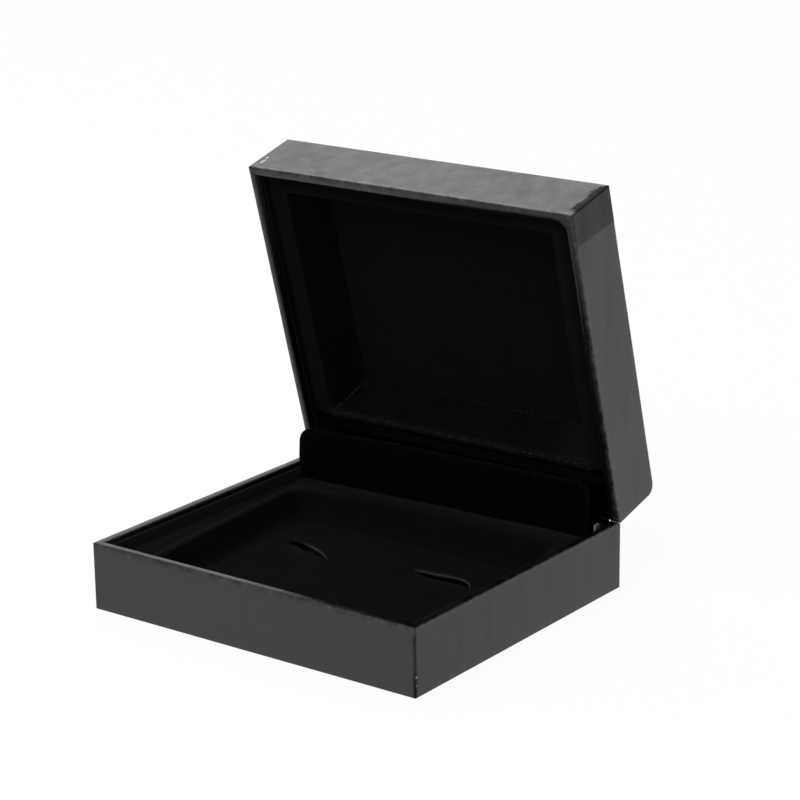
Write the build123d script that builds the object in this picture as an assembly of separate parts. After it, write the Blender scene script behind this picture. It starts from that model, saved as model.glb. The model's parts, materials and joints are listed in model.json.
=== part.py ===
from build123d import *

import os
from math import atan2, cos, degrees, radians, sin, sqrt, tan

# A hinged display box for one pair of cufflinks: a low base and a lid of board covered with
# leatherette, a steel spring hinge, and flocked inserts. X runs to the right, Y to the back and
# Z up, in millimetres. The origin is the centre of the base's underside. Everything is drawn with
# the lid shut, and the lid's pieces are then turned about the hinge pin to the open rest pose.

# ---- the case ----
WIDTH = 80.0
DEPTH = 70.0
BASE_HEIGHT = 14.2
LID_HEIGHT = 13.6
RIM_GAP = 0.3
OPEN_ANGLE = 75.0

BOARD = 1.5
WRAP = 0.35
WRAP_SEAM = 0.1
TURN_IN = 3.0
TURN_UNDER = 6.0
BOTTOM_SHEET = 0.15
BOTTOM_SHEET_INSET = 2.5
EDGE_RADIUS = 0.3
LID_BACK_RADIUS = 2.2
HINGE_CORNER_RADIUS = 1.0
BACK_RIM_RADIUS = 0.8

# ---- the linings and inserts ----
LINING = 0.4
LINING_REVEAL = 0.9
SOFT_GAP = 0.15
RECESS_DRAFT = 31.5
RECESS_SIDE = 7.0
RECESS_FRONT = 5.8
RECESS_BACK = 11.0
CORNER_DRAW_IN = 0.35
LEAST_CORNER = 0.3
BASE_LEDGE_DEPTH = 3.2
BASE_CORNER_RADIUS = 4.5
LID_LEDGE_DEPTH = 2.0
LID_CORNER_RADIUS = 0.8
LID_INSERT_EDGE = 0.3
PAD_THICKNESS = 1.2
BASE_FOAM = 2.4
LID_FOAM = 0.95

# ---- the slits that hold the cufflinks, and the pockets in the foam below them ----
SLIT_CHORD = 17.0
SLIT_RISE = 4.6
SLIT_WIDTH = 0.5
SLIT_FROM_SIDE = 4.8
SLIT_FROM_BACK = 13.5
POCKET_MARGIN = 2.5
POCKET_WIDTH = 14.0
POCKET_CORNER_RADIUS = 3.5

# ---- the card that covers the hinge ----
CARD_END_GAP = 1.8
CARD_BACK_GAP = 3.39
CARD_SHIFT = 1.2
CARD_SKEW = 1.38
CARD_RISE = 8.2
CARD_THICKNESS = 0.6
CARD_LEAN = 4.0
CARD_CORNER_RADIUS = 3.0

# ---- the steel hinge ----
PIN_INSET = 0.7
PIN_RADIUS = 0.35
PIN_CLEARANCE = 0.03
PIN_END_GAP = 0.3
LEAF_SHEET = 0.32
LEAF_HEIGHT = 8.0
LEAF_END_GAP = 0.25
LEAF_SEAT_GAP = 0.05
KNUCKLES = 5
KNUCKLE_GAP = 0.4
EAR_HEIGHT = 1.9
EAR_DEPTH = 1.6
EAR_FROM_END = 1.05
SPRING_SHEET = 0.25
SPRING_WIDTH = 9.0
SPRING_HEIGHT = 7.0
RIVET_RADIUS = 0.6
RIVET_HEAD_RADIUS = 1.1
RIVET_HEAD = 0.3
RIVET_DEPTH = 1.0
RIVET_DROP = 4.8
RIVET_FROM_END = 6.55
RIVET_FROM_MIDDLE = 4.5

# ---- sizes that follow: the case ----
HALF_WIDTH = WIDTH / 2
HALF_DEPTH = DEPTH / 2
WALL = WRAP + BOARD
RIM = WRAP + BOARD + WRAP
BASE_BLOCK = BASE_HEIGHT - BOTTOM_SHEET
FLOOR = BOTTOM_SHEET + WALL
LID_RIM = BASE_HEIGHT + RIM_GAP
CLOSED_HEIGHT = LID_RIM + LID_HEIGHT
LID_CEILING = CLOSED_HEIGHT - WALL
INNER_X = HALF_WIDTH - RIM
INNER_Y = HALF_DEPTH - RIM
BIG = WIDTH + DEPTH
TINY = 0.001

# ---- sizes that follow: the hinge ----
PIN_Y = HALF_DEPTH - PIN_INSET
PIN_Z = BASE_HEIGHT + RIM_GAP / 2
PIN_BORE_RADIUS = PIN_RADIUS + PIN_CLEARANCE
KNUCKLE_RADIUS = PIN_BORE_RADIUS + LEAF_SHEET
LEAF_TOP = PIN_Z - KNUCKLE_RADIUS
LEAF_FRONT = INNER_Y - LEAF_SHEET
LEAF_SIDE = INNER_X - LEAF_END_GAP
PIN_SIDE = INNER_X - PIN_END_GAP
RIVET_X = LEAF_SIDE - RIVET_FROM_END
RIVET_TIP_Y = INNER_Y + WRAP + RIVET_DEPTH
BACK_RIM_DROP = BASE_HEIGHT - LEAF_TOP + LEAF_SEAT_GAP
CASE_MIDDLE = Plane.XY.offset(PIN_Z)

# ---- sizes that follow: the inserts, the pads and the card ----
INSERT_SIDE = INNER_X - LINING - SOFT_GAP
INSERT_FRONT = -INNER_Y + LINING + SOFT_GAP
BASE_LEDGE = BASE_HEIGHT - BASE_LEDGE_DEPTH
BASE_PAD_LOW = FLOOR + BASE_FOAM
BASE_PAD_TOP = BASE_PAD_LOW + PAD_THICKNESS
BASE_RECESS_DEPTH = BASE_LEDGE - BASE_PAD_TOP
LID_LEDGE = LID_RIM + LID_LEDGE_DEPTH
LID_PAD_BACK = LID_CEILING - LID_FOAM
LID_PAD_FACE = LID_PAD_BACK - PAD_THICKNESS
LID_RECESS_DEPTH = LID_PAD_FACE - LID_LEDGE
CARD_FRONT = INNER_Y - CARD_BACK_GAP
CARD_FOOT = FLOOR + SOFT_GAP
CARD_SIDE = INNER_X - CARD_END_GAP
CARD_TURN = degrees(atan2(CARD_SKEW, CARD_SIDE))
INSERT_LEDGE_BACK = CARD_FRONT - SOFT_GAP
INSERT_ROOT_BACK = INSERT_LEDGE_BACK - (BASE_LEDGE - FLOOR) * tan(radians(CARD_LEAN))
LID_INSERT_BACK = HALF_DEPTH - RECESS_BACK + LID_INSERT_EDGE
SLIT_INSET = BASE_RECESS_DEPTH * tan(radians(RECESS_DRAFT)) + SOFT_GAP
SLIT_X = HALF_WIDTH - RECESS_SIDE - SLIT_INSET - SLIT_FROM_SIDE - SLIT_CHORD / 2
SLIT_PEAK = HALF_DEPTH - RECESS_BACK - SLIT_INSET - SLIT_FROM_BACK


def box(x_low, x_high, y_low, y_high, z_low, z_high):
    """A box given by its two corners."""
    size = (x_high - x_low, y_high - y_low, z_high - z_low)
    middle = ((x_low + x_high) / 2, (y_low + y_high) / 2, (z_low + z_high) / 2)
    return Pos(*middle) * Box(*size)


def single(shape):
    """The one solid in a result, without its wrapper."""
    return shape.solids()[0]


# ---- the covered case: half a case is drawn rim up, with its outside on z = 0 ----
def side_outline(back, low, rim, radii):
    """The half case from the side, with rounded corners: front-low, back-low, back-rim, front-rim."""
    corners = [(-back, low), (back, low), (back, rim), (-back, rim)]
    face = make_face(Polyline(*corners, close=True))
    for corner, radius in zip(corners, radii):
        if radius > 0:
            vertex = face.vertices().sort_by_distance(Vector(*corner))[0]
            face = fillet(vertex, radius)
    return Plane.YZ * face


def case_block(height, inset, back_radius):
    """The whole half case as a solid, shrunk by inset on every face, with its lower back rim."""
    edge = max(EDGE_RADIUS - inset, 0)
    hinge_corner = max(HINGE_CORNER_RADIUS - inset, 0)
    radii = (edge, max(back_radius - inset, 0), hinge_corner, edge)
    outline = side_outline(HALF_DEPTH - inset, inset, height - inset, radii)
    block = extrude(outline, amount=HALF_WIDTH - inset, both=True)
    if edge > 0:
        side = HALF_WIDTH - inset
        rims = [e for e in block.edges() if abs(abs(e.center().X) - side) < TINY]
        block = fillet(rims, edge)
    back_rim = height - BACK_RIM_DROP
    back_radii = (0, 0, max(BACK_RIM_RADIUS - inset, 0), 0)
    back_outline = side_outline(HALF_DEPTH - inset, inset, back_rim - inset, back_radii)
    back_wall = extrude(back_outline, amount=HALF_WIDTH, both=True)
    notch_side = INNER_X + inset
    notch = box(-notch_side, notch_side, INNER_Y - RIM, HALF_DEPTH + RIM, height - 2 * BACK_RIM_DROP,
                height + RIM)
    return block - (notch - back_wall)


def case_skin(height, back_radius, cover_floor):
    """The leatherette on half a case: the outside, the rim and the edge turned in or under."""
    outside = case_block(height, 0, back_radius)
    mouth = box(-INNER_X, INNER_X, -INNER_Y, INNER_Y, WALL, height + RIM)
    skin = outside - case_block(height, WRAP, back_radius) - mouth
    ring = box(-HALF_WIDTH + WALL, HALF_WIDTH - WALL, -HALF_DEPTH + WALL, HALF_DEPTH - WALL,
               height - TURN_IN, height)
    skin += (ring & outside) - mouth
    if not cover_floor:
        open_x, open_y = HALF_WIDTH - TURN_UNDER, HALF_DEPTH - TURN_UNDER
        skin -= box(-open_x, open_x, -open_y, open_y, 0, WALL)
    return skin


def plan_wedge(side, seam):
    """The part of the plan that belongs to one wall, bounded by 45 degree lines from the corners."""
    reach = HALF_DEPTH / 2
    x_out, y_out = HALF_WIDTH + RIM, HALF_DEPTH + RIM
    x_in, y_in = HALF_WIDTH - reach, HALF_DEPTH - reach
    corners = {
        "front": [(-x_out, -y_out), (x_out, -y_out), (x_in, -y_in), (-x_in, -y_in)],
        "back": [(-x_out, y_out), (x_out, y_out), (x_in, y_in), (-x_in, y_in)],
        "left": [(-x_out, -y_out), (-x_out, y_out), (-x_in, y_in), (-x_in, -y_in)],
        "right": [(x_out, -y_out), (x_out, y_out), (x_in, y_in), (x_in, -y_in)],
    }[side]
    face = make_face(Polyline(*corners, close=True))
    if seam:
        face = offset(face, -seam / 2, kind=Kind.INTERSECTION)
    return extrude(Plane.XY.offset(-RIM) * face, amount=2 * LID_HEIGHT + BASE_HEIGHT)


def lid_wall_wedge(side, seam):
    """The part of the lid, rim up, that belongs to one wall: its plan wedge, mitred to the top sheet."""
    reach = LID_HEIGHT - RIM
    start = seam / sqrt(2)
    profile = [(-RIM, start - RIM), (-RIM, LID_HEIGHT + RIM), (reach, LID_HEIGHT + RIM),
               (reach, start + reach)]
    face = make_face(Polyline(*profile, close=True))
    place = {
        "front": Plane(origin=(0, -HALF_DEPTH, 0), x_dir=(0, 1, 0), z_dir=(1, 0, 0)),
        "left": Plane(origin=(-HALF_WIDTH, 0, 0), x_dir=(1, 0, 0), z_dir=(0, -1, 0)),
        "right": Plane(origin=(HALF_WIDTH, 0, 0), x_dir=(-1, 0, 0), z_dir=(0, 1, 0)),
    }[side]
    return extrude(place * face, amount=BIG, both=True) & plan_wedge(side, seam)


def wall_boards(height, back_radius):
    """The floor board and the four wall boards of half a case."""
    side, end = HALF_WIDTH - WALL, HALF_DEPTH - WALL
    hollow = box(-side, side, -end, end, WALL, height + RIM)
    shell = case_block(height, WRAP, back_radius) - hollow
    regions = {
        "left": box(-BIG, -side, -BIG, BIG, -RIM, BIG),
        "right": box(side, BIG, -BIG, BIG, -RIM, BIG),
        "front": box(-side, side, -BIG, -end, -RIM, BIG),
        "back": box(-side, side, end, BIG, -RIM, BIG),
        "floor": box(-side, side, -end, end, -RIM, BIG),
    }
    return {name: single(shell & region) for name, region in regions.items()}


def base_place(shape):
    """From rim-up coordinates to the base's place."""
    return Pos(0, 0, BOTTOM_SHEET) * shape


def lid_place(shape):
    """From rim-up coordinates to the shut lid, rim down."""
    return Pos(0, 0, CLOSED_HEIGHT) * mirror(shape, about=Plane.XY)


# ---- linings: flocked card on the walls and behind the lid's insert ----
def wall_lining(side, low, high):
    """One lining panel, standing on the inner face of a wall."""
    face_x, face_y = INNER_X - LINING, INNER_Y - LINING
    if side == "front":
        return box(-INNER_X, INNER_X, -INNER_Y, -face_y, low, high)
    if side == "left":
        return box(-INNER_X, -face_x, -face_y, INSERT_ROOT_BACK, low, high)
    return box(face_x, INNER_X, -face_y, INSERT_ROOT_BACK, low, high)


def lid_back_lining():
    """The strip on the lid's top board between the insert and the hinge leaf."""
    return box(-INSERT_SIDE, INSERT_SIDE, LID_INSERT_BACK + SOFT_GAP, LEAF_FRONT - SOFT_GAP,
               LID_CEILING - LINING, LID_CEILING)


# ---- inserts: a frame with a level ledge and sloping sides around a recess ----
def recess_outline(depth_below_ledge, corner_radius):
    """The recess at a depth below its ledge, drawn in by the draft."""
    step = depth_below_ledge * tan(radians(RECESS_DRAFT))
    x = HALF_WIDTH - RECESS_SIDE - step
    y_low = -HALF_DEPTH + RECESS_FRONT + step
    y_high = HALF_DEPTH - RECESS_BACK - step
    radius = max(corner_radius - step * CORNER_DRAW_IN, LEAST_CORNER)
    return Pos(0, (y_low + y_high) / 2) * RectangleRounded(2 * x, y_high - y_low, radius)


def insert_frame(root, ledge, floor, corner_radius, behind):
    """The frame from its root level to its ledge level, with the recess cut down to the pad's level."""
    direction = 1 if ledge > root else -1
    body = box(-INSERT_SIDE, INSERT_SIDE, INSERT_FRONT, INNER_Y, min(root, ledge), max(root, ledge))
    body -= behind
    mouth = Plane.XY.offset(ledge) * recess_outline(0, corner_radius)
    bottom = Plane.XY.offset(floor) * recess_outline(abs(ledge - floor), corner_radius)
    return single(body - loft([mouth, bottom]) - extrude(bottom, amount=-direction * BIG))


def drop_in(low, high, depth, corner_radius):
    """A flat panel that lies in the well of an insert frame."""
    outline = offset(recess_outline(depth, corner_radius), -SOFT_GAP)
    return extrude(Plane.XY.offset(low) * outline, amount=high - low)


def slit(x_middle):
    """The curved cut in the pad that frees a tongue to hold one cufflink."""
    radius = (SLIT_CHORD ** 2 / 4 + SLIT_RISE ** 2) / (2 * SLIT_RISE)
    centre_y = SLIT_PEAK - radius
    end_x, end_y = SLIT_CHORD / 2, SLIT_PEAK - SLIT_RISE
    half = SLIT_WIDTH / 2
    outer_scale, inner_scale = 1 + half / radius, 1 - half / radius

    def ring_point(x, y, scale):
        return (x * scale, centre_y + (y - centre_y) * scale)

    outer = ThreePointArc(ring_point(-end_x, end_y, outer_scale), (0, SLIT_PEAK + half),
                          ring_point(end_x, end_y, outer_scale))
    inner = ThreePointArc(ring_point(end_x, end_y, inner_scale), (0, SLIT_PEAK - half),
                          ring_point(-end_x, end_y, inner_scale))
    ends = [Line(outer @ 1, inner @ 0), Line(inner @ 1, outer @ 0)]
    return Pos(x_middle, 0) * make_face([outer, inner] + ends)


def cufflink_pad():
    pad = drop_in(BASE_PAD_LOW, BASE_PAD_TOP, BASE_RECESS_DEPTH, BASE_CORNER_RADIUS)
    for x_middle in (-SLIT_X, SLIT_X):
        pad -= extrude(Plane.XY.offset(BASE_PAD_LOW) * slit(x_middle), amount=PAD_THICKNESS)
    return single(pad)


def pad_foam():
    """The foam under the pad, with a pocket below each slit for the cufflink's toggle."""
    foam = drop_in(FLOOR, BASE_PAD_LOW, BASE_RECESS_DEPTH, BASE_CORNER_RADIUS)
    pocket = RectangleRounded(SLIT_CHORD + 2 * POCKET_MARGIN, POCKET_WIDTH, POCKET_CORNER_RADIUS)
    for x_middle in (-SLIT_X, SLIT_X):
        place = Plane.XY.offset(FLOOR) * Pos(x_middle, SLIT_PEAK - SLIT_RISE)
        foam -= extrude(place * pocket, amount=BASE_FOAM)
    return single(foam)


# ---- the card that hides the hinge ----
def card_place(shape):
    """From square to the case to the card's place: moved to the left, with its left end forward."""
    turned = Pos(0, CARD_FRONT, 0) * Rot(0, 0, CARD_TURN)
    return turned * Pos(-CARD_SHIFT, -CARD_FRONT, 0) * shape


def behind_card():
    """The space behind a plane just in front of the card."""
    low, high = FLOOR - RIM, BASE_LEDGE + RIM
    slope = tan(radians(CARD_LEAN))
    profile = [(INSERT_ROOT_BACK - RIM * slope, low), (INSERT_LEDGE_BACK + RIM * slope, high), (BIG, high),
               (BIG, low)]
    return card_place(extrude(Plane.YZ * make_face(Polyline(*profile, close=True)), amount=BIG, both=True))


def hinge_card():
    """A flat card with rounded upper corners, standing behind the insert and leaning back a little."""
    lean = radians(CARD_LEAN)
    height = (BASE_HEIGHT + CARD_RISE - CARD_FOOT) / cos(lean)
    outline = Rectangle(2 * CARD_SIDE, height, align=(Align.CENTER, Align.MIN))
    outline = fillet(outline.vertices().group_by(Axis.Y)[-1], CARD_CORNER_RADIUS)
    foot = (0, CARD_FRONT - (BASE_LEDGE - CARD_FOOT) * tan(lean), CARD_FOOT)
    face_plane = Plane(origin=foot, x_dir=(1, 0, 0), z_dir=(0, -cos(lean), sin(lean)))
    return card_place(extrude(face_plane * outline, amount=-CARD_THICKNESS))


# ---- the steel hinge, drawn for the base and mirrored for the lid ----
def knuckle_spans(kind):
    """The X spans of the base's or the lid's knuckles, which take turns along the pin."""
    pitch = 2 * PIN_SIDE / KNUCKLES
    start = {"base": 0, "lid": 1}[kind]
    return [(n * pitch - PIN_SIDE + KNUCKLE_GAP / 2, (n + 1) * pitch - PIN_SIDE - KNUCKLE_GAP / 2)
            for n in range(start, KNUCKLES, 2)]


def along_pin(face, x_low, x_high):
    """A section about the pin's axis, drawn out from one X to another."""
    start = Plane(origin=(x_low, PIN_Y, PIN_Z), x_dir=(0, 1, 0), z_dir=(1, 0, 0))
    return extrude(start * face, amount=x_high - x_low)


def rivet_bores(radius, y_from, y_to):
    """Cylinders along Y at the places of a leaf's four rivets."""
    plane = Plane(origin=(0, y_from, 0), x_dir=(1, 0, 0), z_dir=(0, -1, 0))
    places = (-RIVET_X, -RIVET_FROM_MIDDLE, RIVET_FROM_MIDDLE, RIVET_X)
    bores = [Pos(x, LEAF_TOP - RIVET_DROP) * Circle(radius) for x in places]
    return extrude(plane * Sketch(children=bores), amount=y_from - y_to)


def leaf_ear(end):
    """The small tab turned forward near one end of the base's leaf."""
    x_edge = end * (LEAF_SIDE - EAR_FROM_END)
    x_inner = x_edge - end * LEAF_SHEET
    return box(min(x_edge, x_inner), max(x_edge, x_inner), LEAF_FRONT - EAR_DEPTH, INNER_Y,
               LEAF_TOP - EAR_HEIGHT, LEAF_TOP + LEAF_SHEET)


def hinge_leaf(kind):
    """A stamped leaf: a plate on the back wall, tabs over the lowered rim, and knuckles round the pin."""
    leaf = box(-LEAF_SIDE, LEAF_SIDE, LEAF_FRONT, INNER_Y, LEAF_TOP - LEAF_HEIGHT, LEAF_TOP)
    ring = Circle(KNUCKLE_RADIUS) - Circle(PIN_BORE_RADIUS)
    for x_low, x_high in knuckle_spans(kind):
        tab = box(x_low, x_high, LEAF_FRONT, PIN_Y, LEAF_TOP, LEAF_TOP + LEAF_SHEET)
        bore = along_pin(Circle(PIN_BORE_RADIUS), x_low, x_high)
        leaf += (tab - bore) + along_pin(ring, x_low, x_high)
    if kind == "base":
        leaf += leaf_ear(-1) + leaf_ear(1)
    leaf = single(leaf - rivet_bores(RIVET_RADIUS, INNER_Y + RIM, INNER_Y - RIM))
    return leaf if kind == "base" else mirror(leaf, about=CASE_MIDDLE)


def hinge_pin():
    return along_pin(Circle(PIN_RADIUS), -PIN_SIDE, PIN_SIDE)


def hinge_rivets(kind):
    """Rivets through a leaf into the back board."""
    shanks = rivet_bores(RIVET_RADIUS, RIVET_TIP_Y, LEAF_FRONT)
    heads = rivet_bores(RIVET_HEAD_RADIUS, LEAF_FRONT, LEAF_FRONT - RIVET_HEAD)
    rivets = Compound(children=list((shanks + heads).solids()))
    return rivets if kind == "base" else mirror(rivets, about=CASE_MIDDLE)


def snap_springs():
    """Two blades on the base leaf whose curled tips bear on the lid's knuckles and hold the lid."""
    blade_y = LEAF_FRONT - SPRING_SHEET / 2
    tip_y = PIN_Y - KNUCKLE_RADIUS - SOFT_GAP
    foot, bend = (blade_y, LEAF_TOP - SPRING_HEIGHT), (blade_y, PIN_Z - PIN_RADIUS)
    line = FilletPolyline(foot, bend, (tip_y, PIN_Z), radius=SPRING_SHEET)
    profile = Plane.YZ * trace(line, SPRING_SHEET)
    blades = []
    for x_low, x_high in knuckle_spans("lid"):
        start = (x_low + x_high - SPRING_WIDTH) / 2
        blades.append(single(extrude(Pos(start, 0, 0) * profile, amount=SPRING_WIDTH)))
    return Compound(children=blades)


def back_board_with_bores(board, kind):
    """The back wall board with the holes for the leaf's rivets."""
    bores = rivet_bores(RIVET_RADIUS, RIVET_TIP_Y, INNER_Y - RIM)
    return single(board - (bores if kind == "base" else mirror(bores, about=CASE_MIDDLE)))


# ---- the assembly ----
def make_base():
    boards = wall_boards(BASE_BLOCK, EDGE_RADIUS)
    nodes = {"base_bottom_board": base_place(boards["floor"])}
    for side in ("front", "left", "right"):
        nodes[f"base_{side}_board"] = base_place(boards[side])
    nodes["base_back_board"] = back_board_with_bores(base_place(boards["back"]), "base")
    skin = base_place(case_skin(BASE_BLOCK, EDGE_RADIUS, cover_floor=False))
    for side in ("front", "back", "left", "right"):
        nodes[f"base_{side}_wrap"] = single(skin & plan_wedge(side, WRAP_SEAM))
    sheet_x, sheet_y = HALF_WIDTH - BOTTOM_SHEET_INSET, HALF_DEPTH - BOTTOM_SHEET_INSET
    nodes["base_bottom_sheet"] = box(-sheet_x, sheet_x, -sheet_y, sheet_y, 0, BOTTOM_SHEET)
    for side in ("front", "left", "right"):
        nodes[f"base_{side}_lining"] = wall_lining(side, FLOOR, BASE_HEIGHT - LINING_REVEAL)
    nodes["base_insert_frame"] = insert_frame(FLOOR, BASE_LEDGE, BASE_PAD_TOP, BASE_CORNER_RADIUS,
                                              behind_card())
    nodes["cufflink_pad"] = cufflink_pad()
    nodes["pad_support_foam"] = pad_foam()
    nodes["hinge_cover_card"] = hinge_card()
    nodes["hinge_base_leaf"] = hinge_leaf("base")
    nodes["hinge_pin"] = hinge_pin()
    nodes["hinge_base_rivets"] = hinge_rivets("base")
    nodes["hinge_snap_springs"] = snap_springs()
    return nodes


def make_lid():
    boards = wall_boards(LID_HEIGHT, LID_BACK_RADIUS)
    nodes = {"lid_top_board": lid_place(boards["floor"])}
    for side in ("front", "left", "right"):
        nodes[f"lid_{side}_board"] = lid_place(boards[side])
    nodes["lid_back_board"] = back_board_with_bores(lid_place(boards["back"]), "lid")
    skin = case_skin(LID_HEIGHT, LID_BACK_RADIUS, cover_floor=True)
    top = skin
    for side in ("front", "left", "right"):
        nodes[f"lid_{side}_wrap"] = lid_place(single(skin & lid_wall_wedge(side, WRAP_SEAM)))
        top -= lid_wall_wedge(side, 0)
    nodes["lid_top_wrap"] = lid_place(single(top))
    for side in ("front", "left", "right"):
        nodes[f"lid_{side}_lining"] = wall_lining(side, LID_RIM + LINING_REVEAL, LID_CEILING)
    nodes["lid_back_lining"] = lid_back_lining()
    behind = box(-BIG, BIG, LID_INSERT_BACK, BIG, LID_RIM, CLOSED_HEIGHT)
    nodes["lid_insert_frame"] = insert_frame(LID_CEILING, LID_LEDGE, LID_PAD_FACE, LID_CORNER_RADIUS, behind)
    nodes["lid_pad"] = drop_in(LID_PAD_FACE, LID_PAD_BACK, LID_RECESS_DEPTH, LID_CORNER_RADIUS)
    nodes["lid_pad_foam"] = drop_in(LID_PAD_BACK, LID_CEILING, LID_RECESS_DEPTH, LID_CORNER_RADIUS)
    nodes["hinge_lid_leaf"] = hinge_leaf("lid")
    nodes["hinge_lid_rivets"] = hinge_rivets("lid")
    hinge_axis = Axis((0, PIN_Y, PIN_Z), (-1, 0, 0))
    return {name: shape.rotate(hinge_axis, OPEN_ANGLE) for name, shape in nodes.items()}


os.makedirs("parts", exist_ok=True)
for name, shape in {**make_base(), **make_lid()}.items():
    export_step(shape, f"parts/{name}.step")
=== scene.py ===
import json
import math
import random

import bmesh
import bpy
import numpy as np
from mathutils import Matrix, Vector, noise


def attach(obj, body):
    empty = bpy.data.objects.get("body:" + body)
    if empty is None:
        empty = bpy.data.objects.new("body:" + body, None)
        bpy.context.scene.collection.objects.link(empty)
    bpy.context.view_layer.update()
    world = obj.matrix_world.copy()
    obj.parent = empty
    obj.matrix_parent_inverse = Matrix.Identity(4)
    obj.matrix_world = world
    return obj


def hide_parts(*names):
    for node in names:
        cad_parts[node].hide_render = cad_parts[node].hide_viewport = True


# The looks of a hinged cufflink box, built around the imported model. Lengths in this script are
# millimetres, and every mesh is scaled to metres when it is made. Each half of the case is drawn
# rim up, with its outside on z = 0, and is then put in its place: the base stands as drawn, and
# the lid is turned over, shut on the base and swung open about the hinge pin.

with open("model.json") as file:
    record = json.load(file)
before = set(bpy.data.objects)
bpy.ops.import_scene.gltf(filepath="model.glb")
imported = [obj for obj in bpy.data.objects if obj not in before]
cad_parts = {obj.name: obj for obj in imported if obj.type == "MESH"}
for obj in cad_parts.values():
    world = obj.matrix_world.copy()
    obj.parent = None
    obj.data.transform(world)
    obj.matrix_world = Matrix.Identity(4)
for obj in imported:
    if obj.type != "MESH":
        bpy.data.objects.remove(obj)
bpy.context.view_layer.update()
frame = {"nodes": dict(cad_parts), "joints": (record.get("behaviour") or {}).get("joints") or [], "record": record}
nodes = frame["nodes"]
hinge = frame["joints"][0]

TO_METRES = 0.001
PIN = Vector(hinge["pos_m"]) / TO_METRES
OPEN_TURN = math.radians(hinge["range_deg"][1] - hinge["range_deg"][0])
SWING = (Matrix.Translation(PIN) @ Matrix.Rotation(OPEN_TURN, 4, Vector(hinge["axis"]))
         @ Matrix.Translation(-PIN))


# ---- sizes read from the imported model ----
def node_box(name, shut=False):
    """Lowest and highest corner of a node in millimetres, for a lid node with the lid shut if asked."""
    turn = SWING.inverted() if shut else Matrix.Identity(4)
    points = [turn @ (v.co / TO_METRES) for v in nodes[name].data.vertices]
    low = Vector(min(p[k] for p in points) for k in range(3))
    high = Vector(max(p[k] for p in points) for k in range(3))
    return low, high


def lid_box(name):
    return node_box(name, shut=True)


HALF_WIDTH = node_box("base_right_wrap")[1].x
HALF_DEPTH = node_box("base_back_wrap")[1].y
BASE_BOTTOM = node_box("base_front_wrap")[0].z
BASE_RIM = node_box("base_front_wrap")[1].z
WRAP = node_box("base_front_board")[0].y - node_box("base_front_wrap")[0].y
RIM = HALF_WIDTH - node_box("base_right_lining")[1].x
LID_RIM = lid_box("lid_front_wrap")[0].z
LID_TOP = lid_box("lid_top_wrap")[1].z
BASE_HEIGHT = BASE_RIM - BASE_BOTTOM
LID_HEIGHT = LID_TOP - LID_RIM
BACK_RIM_DROP = BASE_RIM - node_box("base_back_board")[1].z - WRAP
UNDER = 6.0
TURN_IN = 3.0
LID_BACK_RADIUS = 2.2
HINGE_CORNER_RADIUS = 0.85

PLACE_BASE = Matrix.Translation((0, 0, BASE_BOTTOM))
PLACE_LID = SWING @ Matrix.Translation((0, 0, LID_TOP)) @ Matrix.Diagonal((1, 1, -1, 1))


# ---- small helpers ----
def smooth(t):
    t = min(max(t, 0.0), 1.0)
    return t * t * (3 - 2 * t)


def bump_noise(x, y, z, size, seed=0.0):
    """Smooth noise between about -1 and 1, with bumps about size across."""
    return noise.noise(Vector((x / size + seed, y / size - seed, z / size + 2 * seed)))


def spread(low, high, step):
    """Evenly spaced places from low to high, about a step apart."""
    count = max(1, round((high - low) / step))
    return [low + (high - low) * k / count for k in range(count + 1)]


def spread_fine(low, high, step, edge, parts=4):
    """As spread, with more places within edge of both ends."""
    near = [edge * (1 - math.cos(math.pi / 2 * k / parts)) for k in range(parts)]
    return ([low + d for d in near] + spread(low + edge, high - edge, step)
            + [high - d for d in reversed(near)])


def make_object(name, vertices, faces, place, layers=None, smooth_angle=40):
    """A mesh from points in millimetres, put in its place and scaled to metres."""
    mesh = bpy.data.meshes.new(name)
    mesh.from_pydata([tuple((place @ Vector(v)) * TO_METRES) for v in vertices], [], faces)
    for layer, values in (layers or {}).items():
        attribute = mesh.attributes.new(layer, "FLOAT", "POINT")
        attribute.data.foreach_set("value", np.array(values, np.float32))
    finish_mesh(mesh, smooth_angle)
    obj = bpy.data.objects.new(name, mesh)
    bpy.context.scene.collection.objects.link(obj)
    return obj


def finish_mesh(mesh, smooth_angle):
    """Joins doubled points, drops empty faces, turns all faces outward and shades them smoothly."""
    work = bmesh.new()
    work.from_mesh(mesh)
    bmesh.ops.remove_doubles(work, verts=work.verts, dist=0.004 * TO_METRES)
    bmesh.ops.dissolve_degenerate(work, edges=work.edges, dist=0.002 * TO_METRES)
    loose = [v for v in work.verts if not v.link_faces]
    bmesh.ops.delete(work, geom=loose, context="VERTS")
    bmesh.ops.recalc_face_normals(work, faces=work.faces)
    work.to_mesh(mesh)
    work.free()
    mesh.shade_smooth()
    mesh.set_sharp_from_angle(angle=math.radians(smooth_angle))


def grid_faces(rows, columns, skip=lambda i, j: False, closed=False):
    """Faces of a grid whose points are numbered row by row; closed joins its last column to its first."""
    faces = []
    for i in range(rows - 1):
        for j in range(columns if closed else columns - 1):
            if not skip(i, j):
                k = (j + 1) % columns
                faces.append((i * columns + j, i * columns + k, (i + 1) * columns + k, (i + 1) * columns + j))
    return faces


def applied(obj, smooth_angle=40):
    """The object with its modifiers applied to its mesh."""
    shown = obj.evaluated_get(bpy.context.evaluated_depsgraph_get())
    mesh = bpy.data.meshes.new_from_object(shown)
    obj.modifiers.clear()
    obj.data = mesh
    finish_mesh(mesh, smooth_angle)
    return obj


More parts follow.
